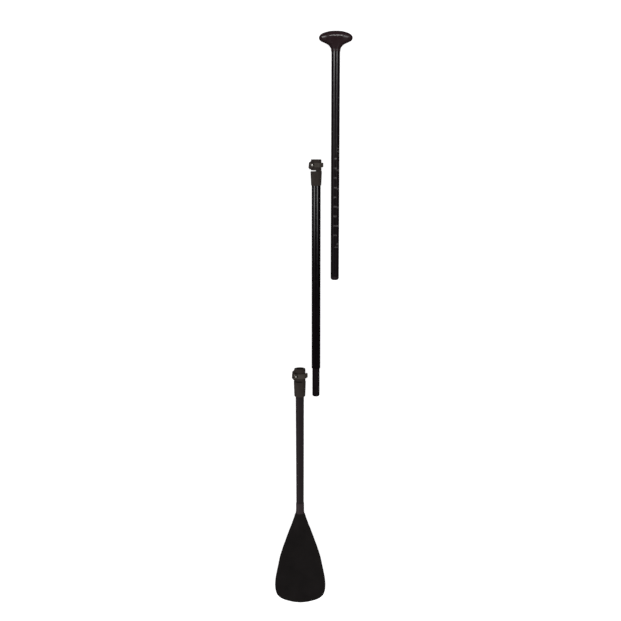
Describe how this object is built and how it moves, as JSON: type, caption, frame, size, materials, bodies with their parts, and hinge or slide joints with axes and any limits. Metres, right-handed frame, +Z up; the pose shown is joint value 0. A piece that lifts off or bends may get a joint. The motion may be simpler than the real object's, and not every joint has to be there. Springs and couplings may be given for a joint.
{
  "type": "single blade paddle",
  "caption": "Stand-up paddle taken apart: blade section, middle tube and palm-grip section laid side by side, with cam lever clamps and a telescoping shaft.",
  "frame": {"origin": "on the ground under the middle of the bounding box of the three sections as laid out", "axes": "+X across the three shafts from the blade section to the grip section, +Y along the shafts towards the grip, +Z up from the ground"},
  "size_m": [0.25, 1.8888, 0.0435],
  "materials": {
    "blade_black": "matte moulded",
    "ferrule_grey": "satin",
    "shaft_matte": "matte",
    "shaft_gloss": "gloss",
    "spigot_black": "satin",
    "plug_black": "satin",
    "grip_gloss": "gloss",
    "clamp_nylon": "fine moulded texture",
    "lever_nylon": "satin moulded",
    "steel": "bright",
    "foam": "closed-cell foam"
  },
  "bodies": {
    "lower_section": {"blade": "blade_black", "blade_collar": "ferrule_grey", "lower_shaft": "shaft_matte", "lower_shaft_bung": "foam", "lower_clamp_collar": "clamp_nylon", "lower_clamp_pad": "steel"},
    "lower_bolt_set": {"lower_clamp_bolt": "steel", "lower_clamp_barrel": "steel", "lower_clamp_washer": "steel"},
    "lower_lever": {"lower_clamp_lever": "lever_nylon"},
    "middle_section": {"middle_shaft": "shaft_gloss", "spigot": "spigot_black", "spigot_cap": "plug_black", "middle_clamp_collar": "clamp_nylon", "middle_clamp_pad": "steel"},
    "middle_bolt_set": {"middle_clamp_bolt": "steel", "middle_clamp_barrel": "steel", "middle_clamp_washer": "steel"},
    "middle_lever": {"middle_clamp_lever": "lever_nylon"},
    "upper_section": {"upper_shaft": "shaft_gloss", "upper_end_plug": "plug_black", "upper_shaft_bung": "foam", "palm_grip": "grip_gloss"}
  },
  "joints": [
    {"name": "spigot_pull", "type": "slide", "parent": "lower_section", "child": "middle_section", "axis": [0, 1, 0], "range_m": [0, 0.1]},
    {"name": "length_adjust", "type": "slide", "parent": "middle_section", "child": "upper_section", "axis": [0, 1, 0], "range_m": [-0.0332, 0.2742]},
    {"name": "lower_bolt_draw", "type": "slide", "parent": "lower_section", "child": "lower_bolt_set", "axis": [-0.2588, 0, -0.9659], "range_m": [0, 0.0012]},
    {"name": "lower_lever_swing", "type": "hinge", "parent": "lower_bolt_set", "child": "lower_lever", "pos_m": [-0.05201, -0.1357, 0.03866], "axis": [0, -1, 0], "range_deg": [0, 150]},
    {"name": "middle_bolt_draw", "type": "slide", "parent": "middle_section", "child": "middle_bolt_set", "axis": [-0.2588, 0, -0.9659], "range_m": [0, 0.0012]},
    {"name": "middle_lever_swing", "type": "hinge", "parent": "middle_bolt_set", "child": "middle_lever", "pos_m": [0.00053, 0.5406, 0.036], "axis": [0, -1, 0], "range_deg": [0, 150]}
  ],
  "couplings": [
    {"joint": "lower_lever_swing", "follows": "lower_bolt_draw", "rad_per_m": 2185},
    {"joint": "middle_lever_swing", "follows": "middle_bolt_draw", "rad_per_m": 2185}
  ]
}
